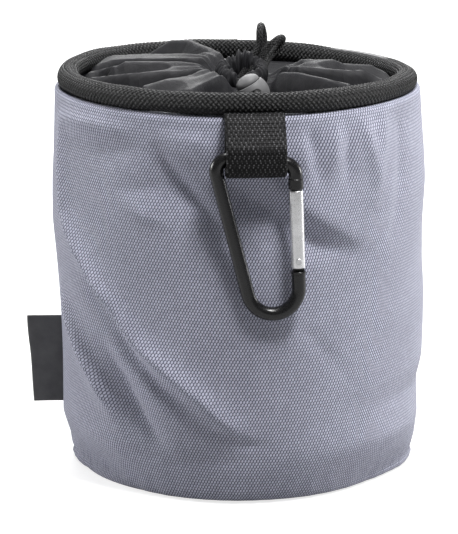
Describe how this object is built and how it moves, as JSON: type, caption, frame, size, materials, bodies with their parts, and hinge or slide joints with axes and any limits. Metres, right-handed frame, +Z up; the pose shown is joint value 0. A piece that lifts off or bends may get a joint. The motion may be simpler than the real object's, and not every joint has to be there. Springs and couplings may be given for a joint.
{
  "type": "peg bag",
  "caption": "Round fabric peg bag with a braided rim, a gathered mouth closed by a draw cord and ball lock, and a snap hook on a webbing loop.",
  "frame": {"origin": "centre of the round base's underside", "axes": "+Z up through the mouth, -Y to the front where the snap hook hangs, +X to the viewer's right"},
  "size_m": [0.1756, 0.1727, 0.1916],
  "materials": {
    "shell_cloth": "plain woven coated polyester, grey blue with pale flecks",
    "black_braid": "round braided black polyester",
    "nylon": "thin black nylon with a soft sheen",
    "webbing": "ribbed black polypropylene webbing",
    "label_cloth": "dark grey woven tape, matte",
    "lock_plastic": "grey moulded plastic, satin",
    "lock_button": "darker grey moulded plastic, satin",
    "board": "dark polypropylene",
    "black_rod": "glossy black anodised aluminium rod",
    "gate_metal": "bare aluminium, turned and polished",
    "rivet_metal": "bare steel",
    "spring_steel": "drawn spring steel"
  },
  "bodies": {
    "bag": {"shell_wall": "shell_cloth", "base_panel": "shell_cloth", "base_board": "board", "rim_binding": "black_braid", "rim_hoop": "board", "collar": "nylon", "draw_cord": "black_braid", "webbing_loop": "webbing", "side_label": "label_cloth"},
    "cord_lock": {"cord_lock_body": "lock_plastic", "cord_lock_spring": "spring_steel"},
    "lock_button": {"cord_lock_plunger": "lock_button"},
    "snap_hook": {"carabiner_body": "black_rod"},
    "gate": {"carabiner_gate": "gate_metal", "gate_pivot_rivet": "rivet_metal", "gate_latch_pin": "rivet_metal", "gate_plunger": "spring_steel", "gate_spring": "spring_steel"}
  },
  "joints": [
    {"name": "lock_slide", "type": "slide", "parent": "bag", "child": "cord_lock", "axis": [0, -1, 0], "range_m": [0, 0.006]},
    {"name": "button_press", "type": "slide", "parent": "cord_lock", "child": "lock_button", "axis": [0.5, 0, -0.866], "range_m": [0, 0.002], "stiffness_N_per_m": 500, "springref_m": -0.002, "deforming": ["cord_lock_spring"]},
    {"name": "hook_swing", "type": "hinge", "parent": "bag", "child": "snap_hook", "pos_m": [0.0074, -0.08448, 0.1494], "axis": [-0.9913, -0.0868, 0.0993], "range_deg": [0, 100]},
    {"name": "gate_swing", "type": "hinge", "parent": "snap_hook", "child": "gate", "pos_m": [0.02494, -0.08294, 0.1072], "axis": [0.0873, -0.9962, 0], "range_deg": [0, 30], "stiffness_Nm_per_rad": 0.05, "springref_deg": -20.05}
  ]
}
